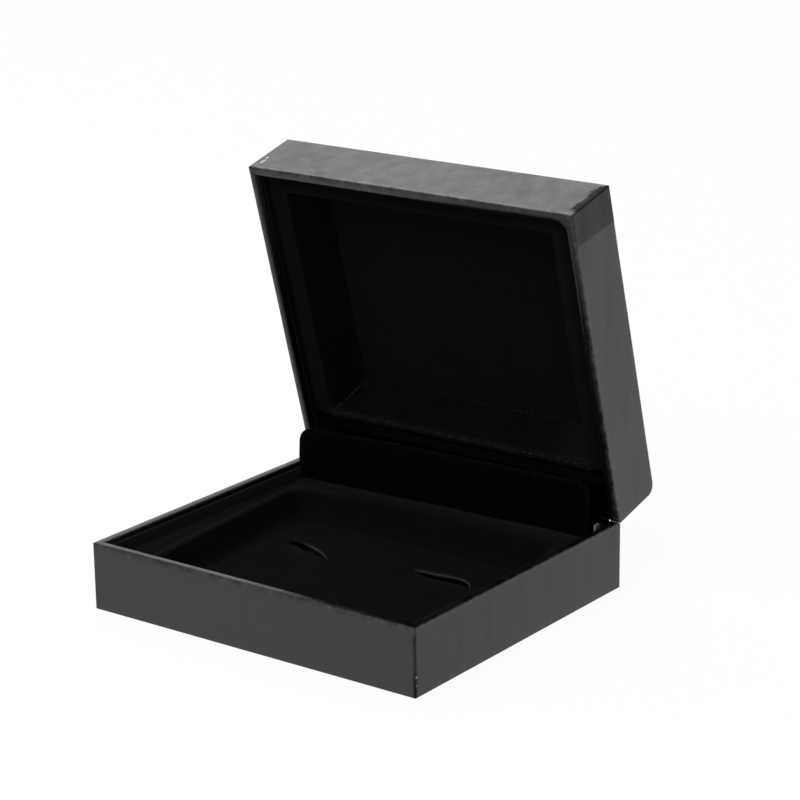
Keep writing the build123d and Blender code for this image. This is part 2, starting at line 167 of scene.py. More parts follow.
def rounded_path(corners, radii, step):
    """Points along a path of straight runs in a plane, with its inner corners rounded."""
    corners = [Vector(c) for c in corners]
    path = [corners[0]]
    for k in range(1, len(corners) - 1):
        here, radius = corners[k], radii[k - 1]
        before, after = (corners[k - 1] - here).normalized(), (corners[k + 1] - here).normalized()
        start, end = here + before * radius, here + after * radius
        centre = here + (before + after) * radius
        path += [path[-1].lerp(start, t) for t in spread(0, 1, step / (start - path[-1]).length)][1:]
        for turn in spread(0, math.pi / 2, math.pi / 10)[1:]:
            path.append(centre - after * radius * math.cos(turn) - before * radius * math.sin(turn))
        path[-1] = end
    path += [path[-1].lerp(corners[-1], t) for t in spread(0, 1, step / (corners[-1] - path[-1]).length)][1:]
    return path


# ---- materials ----
def new_material(name):
    material = bpy.data.materials.new(name)
    material.use_nodes = True
    tree = material.node_tree
    shader = tree.nodes["Principled BSDF"]
    return material, tree, shader


def add_node(tree, kind, inputs=None, **settings):
    """A new node with its settings, its inputs linked to sockets or set to values."""
    node = tree.nodes.new(kind)
    for key, value in settings.items():
        setattr(node, key, value)
    for key, value in (inputs or {}).items():
        if isinstance(value, bpy.types.NodeSocket):
            tree.links.new(value, node.inputs[key])
        else:
            node.inputs[key].default_value = value
    return node


def object_coordinates(tree, stretch=(1, 1, 1)):
    """The piece's own coordinates at rest, in millimetres, stretched along an axis if asked."""
    source = add_node(tree, "ShaderNodeTexCoord").outputs["Object"]
    scale = tuple(s / TO_METRES for s in stretch)
    return add_node(tree, "ShaderNodeMapping", {"Vector": source, "Scale": scale}).outputs["Vector"]


def noise_value(tree, vector, size, detail=3.0, roughness=0.5, distortion=0.0):
    """Noise between 0 and 1 with features about size millimetres across."""
    inputs = {"Vector": vector, "Scale": 1 / size, "Detail": detail, "Roughness": roughness,
              "Distortion": distortion}
    return add_node(tree, "ShaderNodeTexNoise", inputs).outputs["Fac"]


def ramp(tree, value, low, high, out_low=0.0, out_high=1.0):
    """The value mapped from one range to another and held at its ends."""
    inputs = {"Value": value, "From Min": low, "From Max": high, "To Min": out_low, "To Max": out_high}
    return add_node(tree, "ShaderNodeMapRange", inputs, clamp=True).outputs["Result"]


def calculate(tree, operation, first, second=0.0):
    return add_node(tree, "ShaderNodeMath", {0: first, 1: second}, operation=operation).outputs[0]


def mixed(tree, share, first, second):
    """A colour between two colours."""
    node = add_node(tree, "ShaderNodeMix", data_type="RGBA")
    for socket, value in ((node.inputs[0], share), (node.inputs[6], first), (node.inputs[7], second)):
        if isinstance(value, bpy.types.NodeSocket):
            tree.links.new(value, socket)
        elif isinstance(value, tuple):
            socket.default_value = (*value, 1)
        else:
            socket.default_value = value
    return node.outputs[2]


def bumped(tree, height, strength, distance, normal=None):
    inputs = {"Height": height, "Strength": strength, "Distance": distance * TO_METRES}
    if normal is not None:
        inputs["Normal"] = normal
    return add_node(tree, "ShaderNodeBump", inputs).outputs["Normal"]


def split(tree, vector):
    return add_node(tree, "ShaderNodeSeparateXYZ", {"Vector": vector}).outputs[:]


def attribute(tree, name):
    return add_node(tree, "ShaderNodeAttribute", attribute_name=name, attribute_type="GEOMETRY").outputs["Fac"]


def leatherette_material():
    """Black coated paper with a fine pressed grain, scuffed paler along its edges with a painted highlight stripe on
    the lid's front, dark at its seams, and with painted shade.
    """
    material, tree, shader = new_material("leatherette")
    place = object_coordinates(tree)
    cells = add_node(tree, "ShaderNodeTexVoronoi", {"Vector": place, "Scale": 1 / 0.42, "Randomness": 1.0},
                     feature="DISTANCE_TO_EDGE").outputs["Distance"]
    pebbles = ramp(tree, cells, 0.0, 0.22)
    fine = noise_value(tree, place, 0.16, detail=4)
    broad = noise_value(tree, place, 14.0, detail=3, roughness=0.55)
    streaks = noise_value(tree, object_coordinates(tree, (1.0, 1.0, 0.12)), 3.0, detail=3)
    edge = attribute(tree, "edge")
    frayed = ramp(tree, noise_value(tree, place, 0.9, detail=4, roughness=0.6), 0.3, 0.7, -0.28, 0.28)
    seam = ramp(tree, calculate(tree, "ADD", attribute(tree, "seam"), frayed), 0.42, 0.62)
    seam = calculate(tree, "MULTIPLY", seam, ramp(tree, attribute(tree, "seam"), 0.0, 0.1))
    lap = attribute(tree, "lap")
    shade = attribute(tree, "shade")
    patchy = ramp(tree, noise_value(tree, place, 1.6, detail=5, roughness=0.65), 0.42, 0.68)
    wear_and_painted_highlight = calculate(tree, "MINIMUM", calculate(tree, "MULTIPLY", edge, patchy), 1.0)
    specks = ramp(tree, noise_value(tree, place, 0.5, detail=1), 0.79, 0.83)
    base = mixed(tree, broad, (0.0070, 0.0046, 0.0058), (0.0105, 0.0074, 0.0088))
    worn_and_highlit = mixed(tree, calculate(tree, "MULTIPLY", wear_and_painted_highlight, 0.82), base, (0.092, 0.090, 0.089))
    dusty = mixed(tree, calculate(tree, "MULTIPLY", specks, 0.12), worn_and_highlit, (0.22, 0.22, 0.21))
    colour = mixed(tree, seam, dusty, mixed(tree, fine, (0.010, 0.010, 0.010), (0.050, 0.048, 0.047)))
    # painted shade: the shade attribute paints the rims, the base's right wall and the lid's rear rim by the hinge
    # near black; it also holds the dark seam bands at the corners
    colour = mixed(tree, calculate(tree, "MULTIPLY", shade, 0.9), colour, (0.001, 0.001, 0.001))
    colour = mixed(tree, calculate(tree, "MULTIPLY", lap, 0.5), colour, (0.003, 0.003, 0.003))
    tree.links.new(colour, shader.inputs["Base Color"])
    # near-black metal takes the shine away from the lap and the seams, and from the painted shade, which then shows no
    # reflection
    dullness_and_painted_shade = calculate(tree, "MAXIMUM", calculate(tree, "MULTIPLY", lap, 0.42), calculate(tree, "MULTIPLY", shade, 0.95))
    dullness_and_painted_shade = calculate(tree, "MAXIMUM", dullness_and_painted_shade, calculate(tree, "MULTIPLY", seam, 0.75))
    tree.links.new(dullness_and_painted_shade, shader.inputs["Metallic"])
    gloss = calculate(tree, "ADD", ramp(tree, broad, 0.3, 0.7, 0.27, 0.34), ramp(tree, streaks, 0.3, 0.7, -0.07, 0.08))
    gloss = calculate(tree, "ADD", gloss, ramp(tree, fine, 0.2, 0.8, -0.05, 0.05))
    rough = calculate(tree, "ADD", gloss, calculate(tree, "MULTIPLY", seam, 0.6))
    rough = calculate(tree, "ADD", rough, calculate(tree, "MULTIPLY", lap, 0.12))
    tree.links.new(rough, shader.inputs["Roughness"])
    shader.inputs["Specular IOR Level"].default_value = 0.5
    normal = bumped(tree, broad, 0.12, 0.6)
    normal = bumped(tree, pebbles, 0.14, 0.05, normal)
    normal = bumped(tree, fine, 0.18, 0.03, normal)
    tree.links.new(normal, shader.inputs["Normal"])
    return material


def velvet_material(name, shade, lint_shade):
    """Black flocking: short fibres, a soft pile of varying tone, paler along its creases, a little lint, and painted
    light where a piece asks for it.
    """
    material, tree, shader = new_material(name)

    def grey(level):
        return (level * shade, level * shade, level * shade)

    place = object_coordinates(tree)
    fibres = noise_value(tree, place, 0.14, detail=3, roughness=0.7)
    nap_tone_and_painted_light = noise_value(tree, place, 5.0, detail=4, roughness=0.6)
    clumps = noise_value(tree, place, 0.7, detail=3, roughness=0.6)
    crease = attribute(tree, "crease")
    dotted = ramp(tree, noise_value(tree, place, 0.42, detail=3, roughness=0.75), 0.50, 0.66)
    pale = calculate(tree, "MULTIPLY", crease, dotted)
    lint = ramp(tree, noise_value(tree, place, 0.35, detail=0), 0.80, 0.86, 0.0, 0.35)
    base = mixed(tree, ramp(tree, nap_tone_and_painted_light, 0.3, 0.7), grey(0.0009), grey(0.0024))
    # painted light: the flock is painted paler as far as the piece's painted light value asks
    painted_light_colour = calculate(tree, "MULTIPLY", attribute(tree, "painted_light"), 0.0050 * shade)
    painted_light_colour = add_node(tree, "ShaderNodeCombineColor", {"Red": painted_light_colour, "Green": painted_light_colour, "Blue": painted_light_colour})
    base = mixed(tree, ramp(tree, attribute(tree, "painted_light"), 0.0, 1.0), base, painted_light_colour.outputs[0])
    tufted = mixed(tree, ramp(tree, fibres, 0.45, 0.75, 0.0, 0.5), base, grey(0.0060))
    creases_and_painted_light = mixed(tree, pale, tufted, (0.040, 0.040, 0.040))
    linted = mixed(tree, lint, creases_and_painted_light, (lint_shade, lint_shade, lint_shade))
    frayed = ramp(tree, noise_value(tree, place, 0.9, detail=4, roughness=0.7), 0.25, 0.7, 0.012, 0.060)
    cut_face = add_node(tree, "ShaderNodeCombineColor", {"Red": frayed, "Green": frayed, "Blue": frayed})
    colour = mixed(tree, attribute(tree, "cut"), linted, cut_face.outputs[0])
    tree.links.new(colour, shader.inputs["Base Color"])
    shader.inputs["Roughness"].default_value = 1.0
    shader.inputs["Specular IOR Level"].default_value = 0.02
    shader.inputs["Sheen Weight"].default_value = 0.012 * shade
    shader.inputs["Sheen Roughness"].default_value = 0.5
    normal = bumped(tree, clumps, 0.35, 0.10)
    normal = bumped(tree, fibres, 0.6, 0.06, normal)
    tree.links.new(normal, shader.inputs["Normal"])
    return material


def steel_material(name, pale, dark, roughness, highlit_wear_beyond=None):
    """Rolled and stamped sheet steel with fine lines along X and stains, and beyond an X a paler patch that is partly
    scuffed bare steel and partly a painted highlight.
    """
    material, tree, shader = new_material(name)
    lines = noise_value(tree, object_coordinates(tree, (0.04, 1.0, 1.0)), 0.12, detail=4)
    stain = noise_value(tree, object_coordinates(tree), 2.2, detail=4, roughness=0.6)
    colour = mixed(tree, ramp(tree, stain, 0.35, 0.7), pale, dark)
    if highlit_wear_beyond:
        x, y, _ = split(tree, object_coordinates(tree))
        wear_and_painted_highlight = calculate(tree, "MULTIPLY", ramp(tree, calculate(tree, "ABSOLUTE", x), highlit_wear_beyond, highlit_wear_beyond + 0.1),
                           ramp(tree, y, 32.5, 32.3))
        colour = mixed(tree, wear_and_painted_highlight, colour, (0.27, 0.27, 0.265))
        tree.links.new(ramp(tree, wear_and_painted_highlight, 0, 1, 1.0, 0.3), shader.inputs["Metallic"])
    else:
        shader.inputs["Metallic"].default_value = 1.0
    tree.links.new(colour, shader.inputs["Base Color"])
    rough = ramp(tree, calculate(tree, "ADD", lines, stain), 0.6, 1.4, roughness - 0.08, roughness + 0.12)
    tree.links.new(rough, shader.inputs["Roughness"])
    tree.links.new(bumped(tree, lines, 0.3, 0.01), shader.inputs["Normal"])
    shader.inputs["Specular Tint"].default_value = (0.06, 0.06, 0.06, 1)
    return material


def paper_material(name, pale, dark, fibre):
    """Uncoated paper or board: matted fibres and slight mottling."""
    material, tree, shader = new_material(name)
    place = object_coordinates(tree)
    mottle = noise_value(tree, place, 2.5, detail=4, roughness=0.6)
    hairs = noise_value(tree, object_coordinates(tree, (0.3, 1.0, 1.0)), fibre, detail=4, distortion=0.6)
    colour = mixed(tree, calculate(tree, "MULTIPLY", mottle, hairs), dark, pale)
    tree.links.new(colour, shader.inputs["Base Color"])
    shader.inputs["Roughness"].default_value = 0.9
    shader.inputs["Specular IOR Level"].default_value = 0.3
    normal = bumped(tree, hairs, 0.4, 0.03)
    tree.links.new(bumped(tree, mottle, 0.2, 0.08, normal), shader.inputs["Normal"])
    return material


def foam_material():
    """Black open-cell foam."""
    material, tree, shader = new_material("foam")
    place = object_coordinates(tree)
    cells = add_node(tree, "ShaderNodeTexVoronoi", {"Vector": place, "Scale": 1 / 0.35}).outputs["Distance"]
    colour = mixed(tree, ramp(tree, cells, 0.1, 0.6), (0.003, 0.003, 0.003), (0.011, 0.011, 0.012))
    tree.links.new(colour, shader.inputs["Base Color"])
    shader.inputs["Roughness"].default_value = 1.0
    shader.inputs["Specular IOR Level"].default_value = 0.15
    tree.links.new(bumped(tree, cells, 0.8, 0.12), shader.inputs["Normal"])
    return material


MATERIALS = {
    "leatherette": leatherette_material(),
    "velvet": velvet_material("velvet", 1.0, 0.030),
    "card_cloth": velvet_material("card_cloth", 0.22, 0.003),
    "board": paper_material("board", (0.026, 0.025, 0.025), (0.009, 0.009, 0.009), 0.25),
    "bottom_paper": paper_material("bottom_paper", (0.040, 0.040, 0.040), (0.012, 0.012, 0.012), 0.18),
    "foam": foam_material(),
    "hinge_steel": steel_material("hinge_steel", (0.006, 0.006, 0.006), (0.002, 0.002, 0.002), 0.46, 36.0),
    "spring_steel": steel_material("spring_steel", (0.05, 0.05, 0.055), (0.02, 0.02, 0.022), 0.34),
}
BARE_PAPER = paper_material("bare_paper", (0.80, 0.79, 0.78), (0.52, 0.51, 0.50), 0.12)
# a darker copy of the bare paper, used for the base's crumbs
DARKER_PAPER = paper_material("darker_paper", (0.34, 0.34, 0.33), (0.16, 0.16, 0.155), 0.12)


def dress(obj, body, slot_name, *replaced):
    """Gives a piece its material, its body and the nodes that it stands for."""
    obj.data.materials.clear()
    obj.data.materials.append(MATERIALS[slot_name])
    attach(obj, body)
    if replaced:
        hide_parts(*replaced)
    return obj


# ---- the leatherette: one sheet for each wall of the case, and one for the lid's top and back ----
CORNER_ROLL = 0.4
RIM_OUTER_RADIUS = 0.26
RIM_INNER_RADIUS = 1.0
BACK_RIM_RADIUS = 0.8
BOTTOM_RADIUS = 0.2
SEAM = 0.01
RAGGED = 0.03
STEP = 1.3
LID_FOLD = 2.2
LID_FLAP = 7.8
FLAP_SKEW = 0.8
MITRE_SHARE = 1 - 1 / math.sqrt(2)
MITRE = CORNER_ROLL * MITRE_SHARE


def roll(distance):
    """How far a rounded edge falls back from the face, at a distance from the corner line."""
    if distance >= CORNER_ROLL:
        return 0.0
    return CORNER_ROLL - math.sqrt(max(CORNER_ROLL ** 2 - (CORNER_ROLL - distance) ** 2, 0.0))


def seam_gap(end_seam, z, seed):
    """Half the width of the raw seam at a corner, which wanders along it."""
    ragged = 0.6 * bump_noise(z, seed, 0, 1.7, seed) + 0.4 * bump_noise(z, seed, 0, 0.5, seed + 5)
    return max(end_seam + (RAGGED + 0.5 * end_seam) * ragged, 0.01)


def skin_waves(x, y, z, seed):
    """How the glued sheet rises and falls over its board."""
    return 0.035 * bump_noise(x, y, z, 16, seed) + 0.012 * bump_noise(x, y, z, 4.5, seed + 3)


def thickened(obj, thickness=WRAP):
    solidify = obj.modifiers.new("thickness", "SOLIDIFY")
    solidify.thickness = thickness * TO_METRES
    solidify.offset = -1
    return applied(obj)


def outline_z(t, z, height, inset, top_radius, rim_radius):
    """A side wall's z, bent so that the wall follows the rounded corners at its back end."""
    middle = height / 2
    if top_radius and t > HALF_DEPTH - top_radius and z < middle:
        across = min(t - (HALF_DEPTH - top_radius), top_radius - inset)
        low = top_radius - math.sqrt(max((top_radius - inset) ** 2 - across ** 2, 0))
        return low + (z - inset) * (middle - low) / (middle - inset)
    if t > HALF_DEPTH - rim_radius and z > middle:
        across = min(t - (HALF_DEPTH - rim_radius), rim_radius)
        drop = rim_radius - math.sqrt(max(rim_radius ** 2 - across ** 2, 0))
        return z - drop * smooth((z - middle) / (height - TURN_IN - middle))
    return z


def wall_position(side, t, n, z):
    """A point on a wall: t along it, n in from its outer face, and z up."""
    return {
        "front": (t, -HALF_DEPTH + n, z),
        "back": (t, HALF_DEPTH - n, z),
        "left": (-HALF_WIDTH + n, t, z),
        "right": (HALF_WIDTH - n, t, z),
    }[side]


def sharpened(n, z, height, amount):
    """A point of the rounded inner edge of a rim, moved toward a nearly square edge."""
    if n < RIM - RIM_INNER_RADIUS or z < height - RIM_INNER_RADIUS:
        return n, z
    radius = RIM_INNER_RADIUS + (0.15 - RIM_INNER_RADIUS) * amount
    scale = radius / RIM_INNER_RADIUS
    bulge = 0.2 * amount * min((n - RIM + RIM_INNER_RADIUS) / RIM_INNER_RADIUS, 1)
    return (RIM - radius + (n - RIM + RIM_INNER_RADIUS) * scale + bulge,
            height - radius + (z - height + RIM_INNER_RADIUS) * scale)


def rim_shade(painted_rim_shades, along, n, z, height):
    """Painted shade on the rim, darkened and without shine: given as (face, outer edge, inner edge) at the wall's low
    and high end.
    """
    face, outer, inner = (a + (b - a) * smooth(0.5 + along / 2) for a, b in zip(*painted_rim_shades))
    if n < 0.02:
        return face * smooth((z - height + 1.5) / 1.3)
    across = min(n / RIM, 1.0)
    return outer * (1 - smooth((across - 0.2) / 0.3)) + inner * smooth((across - 0.2) / 0.6)


def fold_in(distance, radius):
    """How far the bulky fold in a corner of the opening stands in from the wall's inner face."""
    return radius - math.sqrt(max(radius ** 2 - (radius - min(distance, radius)) ** 2, 0.0))


def side_sheet(name, side, place, height, top_radius, bands, seed, painted_rim_shades, soft=(0.3, 0.3), folds=(0, 0),
               flap=0.0, painted_wall_shade=0.0):
    """The sheet on a front or side wall. For its low and high end, bands holds the width of the raw seam,
    soft how dark and shineless the seam at the corner is and folds the radius of the fold in the corner of
    the opening. The rim's painted shade is given for both ends, and the wall's painted shade as one number.
    flap is how far the next wall's sheet laps over the low end, as a step in this one."""
    open_top = top_radius is not None
    if open_top:
        corners = [(0, MITRE + SEAM), (0, height), (RIM, height), (RIM, height - TURN_IN)]
        radii = (RIM_OUTER_RADIUS, RIM_INNER_RADIUS)
    else:
        corners = [(UNDER, 0), (0, 0), (0, height), (RIM, height), (RIM, height - TURN_IN)]
        radii = (BOTTOM_RADIUS, RIM_OUTER_RADIUS, RIM_INNER_RADIUS)
    path = rounded_path(corners, radii, STEP)
    if open_top:
        extra = [Vector((0, MITRE + SEAM + d)) for d in (0.08, 0.18, 0.30, 0.45)]
        path = [path[0]] + extra + [p for p in path[1:] if p.x > 0 or p.y > 1.0]
    last = max(i for i, p in enumerate(path) if p.x < 1e-6)
    path[last:last] = [Vector((0, height - 1.0)), Vector((0, height - 0.6))]
    half = HALF_WIDTH if side == "front" else HALF_DEPTH
    columns = spread_fine(-half, half, STEP, 3.0, 12)
    if flap:
        columns = sorted(columns + [-half + flap + d for d in (-0.08, -0.02, 0.04, 0.10)])
    columns = [t / half for t in columns]
    points, edge, seam, lapped, shade = [], [], [], [], []
    for n_even, z_even in path:
        for share in columns:
            n0, z0 = n_even, z_even
            if side != "front":
                n0, z0 = sharpened(n0, z0, height, smooth((share * half - half + 5) / 3))
            end = 0 if share < 0 else 1
            gap = seam_gap(SEAM, z0, seed + (7 if share < 0 else 11))
            mitred = side == "front" or share < 0
            fold = folds[0] if share < 0 else folds[1]
            bulk = min(max(n0 - 0.2, 0) / (RIM - 0.2), 1) * smooth((z0 - height + 1.6) / 1.4)
            limit = half - (max(MITRE, n0) if mitred else MITRE) - gap - MITRE_SHARE * fold * bulk
            t = share * limit
            if flap:
                t += FLAP_SKEW * (0.5 - z0 / height) * smooth(1 - abs(t + half - flap) / 5)
            z = z0
            if side != "front":
                z = outline_z(t, z0, height, MITRE if open_top else 0, top_radius, HINGE_CORNER_RADIUS)
            to_corner = half - abs(t)
            n = max(n0, roll(to_corner)) + bulk * (fold_in(half - RIM - abs(t), fold) if fold else 0)
            to_top = 9.0
            if open_top:
                to_top = z
                if side != "front" and t > HALF_DEPTH - top_radius and z < top_radius:
                    to_top = top_radius - math.hypot(t - (HALF_DEPTH - top_radius), top_radius - z)
                if n0 < CORNER_ROLL:
                    n = max(n, roll(to_top))
            x, y, z = wall_position(side, t, n, z)
            border = -half + flap + FLAP_SKEW * (0.5 - z0 / height)
            over = smooth((border + 0.06 - t) / 0.12) if flap and n0 < 0.2 else 0.0
            out = skin_waves(x, y, z, seed) + 0.05 * over
            x, y, z = wall_position(side, t, n - out, z)
            lapped.append(over)
            rim_line = 0.03 * bump_noise(t, seed, 0, 3.5, seed) if z0 > height - 1 else 0
            points.append((x, y, z + rim_line))
            at_rim = max(0.0, 1 - abs(z0 - height) / 1.2) if n0 < 1.0 else 0.0
            near = min(to_corner if mitred or n0 < 0.3 else 9.0, to_top)
            # painted highlight: a pale stripe along the top of the lid's front face, added to its edge wear
            painted_highlight_stripe = 2.2 * smooth(1 - abs(z0 - height + 0.45) / 0.6) if open_top and side == "front" and n0 < 0.1 else 0
            edge.append(max(at_rim, painted_highlight_stripe, 1 - near / 0.9, 0))
            from_seam = near - MITRE - gap
            below_rim = 1 - smooth((z0 - height + 1.9) / 0.9)
            band = bands[end] if to_corner < to_top else 0.1
            seam.append(max(1 - from_seam / (2 * band), 0) * below_rim if n0 < CORNER_ROLL else 0.0)
            # painted shade: the rim, and on the base's right wall the whole wall, is painted dark and without shine;
            # the dark band at the corner, darker towards the bottom, is the seam's own
            dullness_and_painted_shade = rim_shade(painted_rim_shades, share, n0, z0, height) if z0 > height - 1.6 else 0.0
            dullness_and_painted_shade = max(dullness_and_painted_shade, painted_wall_shade)
            if n0 < CORNER_ROLL and to_corner < to_top:
                low = 1 + 0.5 * smooth((5 - z0) / 2) if not open_top else 1
                dullness_and_painted_shade = max(dullness_and_painted_shade, soft[end] * low * smooth(1.1 - from_seam / 0.75) * (0.4 + 0.6 * below_rim))
            shade.append(dullness_and_painted_shade)
    layers = {"edge": edge, "seam": seam, "lap": lapped, "shade": shade}
    return thickened(make_object(name, points, grid_faces(len(path), len(columns)), place, layers))


def back_sheet(name, place, height, top_radius, seams, seed):
    """The sheet on the back wall, with its lower rim between the side walls; a lid's covers the top too."""
    back_height = height - BACK_RIM_DROP
    rim_corners = [(back_height, 0), (back_height, RIM), (back_height - TURN_IN, RIM)]
    covers_top = top_radius is not None
    bottom = [(-2 * HALF_DEPTH + MITRE + SEAM, 0)] if covers_top else [(-UNDER, 0)]
    # the path is drawn flat, as (up the wall, in from its face): the top lies before up = 0
    path, centre = [], top_radius or BOTTOM_RADIUS
    if covers_top:
        run = [MITRE + SEAM + d for d in (0, 0.08, 0.18, 0.30, 0.45)]
        for y in [-HALF_DEPTH + d for d in run] + spread(-HALF_DEPTH + 1.2, HALF_DEPTH - centre, STEP):
            path.append((y, 0.0, "top"))
    else:
        for n in spread(UNDER, centre, STEP):
            path.append((HALF_DEPTH - n, 0.0, "under"))
    for turn in spread(0, math.pi / 2, math.pi / 18)[1:]:
        path.append((HALF_DEPTH - centre + centre * math.sin(turn), centre - centre * math.cos(turn), "face"))
    for z in spread(centre, back_height - BACK_RIM_RADIUS, STEP)[1:]:
        path.append((HALF_DEPTH, z, "face"))
    rim = rounded_path([(0, back_height - BACK_RIM_RADIUS - 0.01), (0, back_height), (RIM, back_height),
                        (RIM, back_height - TURN_IN)], (BACK_RIM_RADIUS, RIM_INNER_RADIUS), STEP)
    for n, z in rim[1:]:
        path.append((HALF_DEPTH - n, z, "rim"))
    notch = HALF_WIDTH - RIM - 0.1
    inner = spread_fine(-notch, notch, STEP, 2.0, 5)
    ends = [notch + 0.06, notch + 0.7, notch + 1.2, notch + 1.6, notch + 1.8, notch + 1.95, notch + 2.05]
    columns = [-t for t in reversed(ends)] + inner + ends
    points, edge, seam, shade = [], [], [], []
    for y0, z0, kind in path:
        for t0 in columns:
            gap = seam_gap(seams[0] if t0 < 0 else seams[1], z0 if kind == "face" else y0, seed)
            limit = HALF_WIDTH - MITRE - gap
            t = t0
            if abs(t0) > notch:
                t = math.copysign(notch + (abs(t0) - notch) * (limit - notch) / (ends[-1] - notch), t0)
            y, z = y0, z0
            if kind == "rim" and abs(t0) > notch:
                y, z = HALF_DEPTH, min(z0, height - HINGE_CORNER_RADIUS - 0.02)
            to_corner = HALF_WIDTH - abs(t)
            fall = roll(to_corner)
            if kind == "top":
                z = max(z + fall, roll(y + HALF_DEPTH))
            elif kind == "under":
                z += fall
            else:
                towards = Vector((0, HALF_DEPTH - centre - y, max(centre - z, 0)))
                if towards.length > 0.01 and abs(t0) > notch - 1:
                    y += towards.normalized().y * fall
                    z += towards.normalized().z * fall
            out = skin_waves(t, y, z, seed)
            y += out if kind != "top" else 0
            z -= out if kind == "top" else 0
            points.append((t, y, z))
            near = min(to_corner, y + HALF_DEPTH if kind == "top" else 9.0)
            at_rim = max(0.0, 1 - abs(z0 - back_height) / 1.2) if kind == "rim" else 0.0
            # painted shade: the lid's rear rim shows beside the hinge when the lid is open, and is painted dark there,
            # its scuffed paleness cut
            dullness_and_painted_shade = smooth((HALF_DEPTH - 0.4 - y0) / 0.6) if kind == "rim" and covers_top else 0.0
            shade.append(0.85 * dullness_and_painted_shade)
            at_rim *= 1 - 0.7 * dullness_and_painted_shade
            edge.append(max(at_rim, max(0.0, 1 - near / 0.9)))
            seam.append(max(1 - (near - MITRE - gap) / 0.2, 0) if kind != "rim" else 0.0)
    first_rim = next(i for i, p in enumerate(path) if p[2] == "rim")
    reach = len(ends)

    def skip(i, j):
        return i >= first_rim and (j < reach or j >= len(columns) - 1 - reach)

    obj = make_object(name, points, grid_faces(len(path), len(columns), skip), place,
                      {"edge": edge, "seam": seam, "shade": shade})
    return thickened(obj)


def make_leatherette():
    base, lid = (PLACE_BASE, BASE_HEIGHT, None), (PLACE_LID, LID_HEIGHT, LID_BACK_RADIUS)
    # painted shade on the rims, given as (face, outer edge, inner edge) at each wall's low and high end, and over the
    # base's right wall as a whole
    left_painted_rim_shades = ((0.0, 0.35, 0.62), (0.0, 0.50, 0.85))
    sheets = {
        "base_front_wrap": side_sheet("base_front_cover", "front", *base, (0.02, 0.02), 1.3,
                                      ((0.45, 0.85, 0.32), (0.30, 0.90, 0.90)), (0.3, 0.6)),
        "base_left_wrap": side_sheet("base_left_cover", "left", *base, (0.02, 0.02), 2.1, left_painted_rim_shades),
        "base_right_wrap": side_sheet("base_right_cover", "right", *base, (0.02, 0.02), 3.7,
                                      ((0.25, 0.70, 0.90),) * 2, (0.6, 0.2), painted_wall_shade=0.24),
        "base_back_wrap": back_sheet("base_back_cover", *base, (0.06, 0.06), 4.9),
        "lid_front_wrap": side_sheet("lid_front_cover", "front", *lid, (0.10, 1.5), 5.3,
                                     ((0.0, 0.55, 0.20),) * 2, (0.3, 0.0), (0, LID_FOLD)),
        "lid_left_wrap": side_sheet("lid_left_cover", "left", *lid, (0.10, 0.10), 6.1,
                                    ((0.0, 0.0, 0.92),) * 2),
        "lid_right_wrap": side_sheet("lid_right_cover", "right", *lid, (0.14, 0.10), 7.9,
                                     ((0.0, 0.15, 0.65),) * 2, (0.0, 0.2), (LID_FOLD, 0), LID_FLAP),
        "lid_top_wrap": back_sheet("lid_top_cover", *lid, (0.06, 0.06), 8.3),
    }
    for node, obj in sheets.items():
        dress(obj, node.split("_")[0], "leatherette", node)


# ---- flocked panels: linings, and the card that covers the hinge ----
def soft_panel(name, low, high, place, radius, step, waves, seed, shape=lambda p: p, painted_light=0.0):
    """A box with rounded edges and slightly wavy faces, as a closed grid of its six sides."""
    low, high = Vector(low), Vector(high)
    radius = min(radius, min(high - low) / 2)
    lines = [spread_fine(low[k], high[k], step, radius, 3) for k in range(3)]
    points, faces, crease = [], [], []
    for axis in range(3):
        a, b = [k for k in range(3) if k != axis]
        for end in (low[axis], high[axis]):
            start = len(points)
            for u in lines[a]:
                for v in lines[b]:
                    p = Vector((0, 0, 0))
                    p[axis], p[a], p[b] = end, u, v
                    inner = Vector(min(max(p[k], low[k] + radius), high[k] - radius) for k in range(3))
                    away = p - inner
                    if away.length > 1e-6:
                        p = inner + away.normalized() * radius
                    wave = waves * bump_noise(p.x, p.y, p.z, 7, seed)
                    p += away.normalized() * wave
                    points.append(shape(p))
                    borders = sorted(min(p[k] - low[k], high[k] - p[k]) for k in range(3))
                    crease.append(0.35 * max(0.0, 1 - borders[1] / 0.5))
            faces += [tuple(start + f for f in face) for face in grid_faces(len(lines[a]), len(lines[b]))]
    return make_object(name, points, faces, place, {"crease": crease, "painted_light": [painted_light] * len(points)})


def make_linings():
    straight = Matrix.Identity(4)
    for node, body in (("base_front_lining", "base"), ("base_left_lining", "base"), ("base_right_lining", "base"),
                       ("lid_front_lining", "lid"), ("lid_left_lining", "lid"), ("lid_right_lining", "lid"),
                       ("lid_back_lining", "lid")):
        low, high = node_box(node, shut=body == "lid")
        # painted light: the base's linings are painted paler
        panel = soft_panel(node + "_flocked", low, high, SWING if body == "lid" else straight, 0.16, 1.5, 0.05,
                           len(node), painted_light=3.3 if body == "base" else 0.0)
        dress(panel, body, "velvet", node)


CARD_RADIUS = 3.0
CARD_CURL = 1.2
CARD_CURL_FROM = 9.5


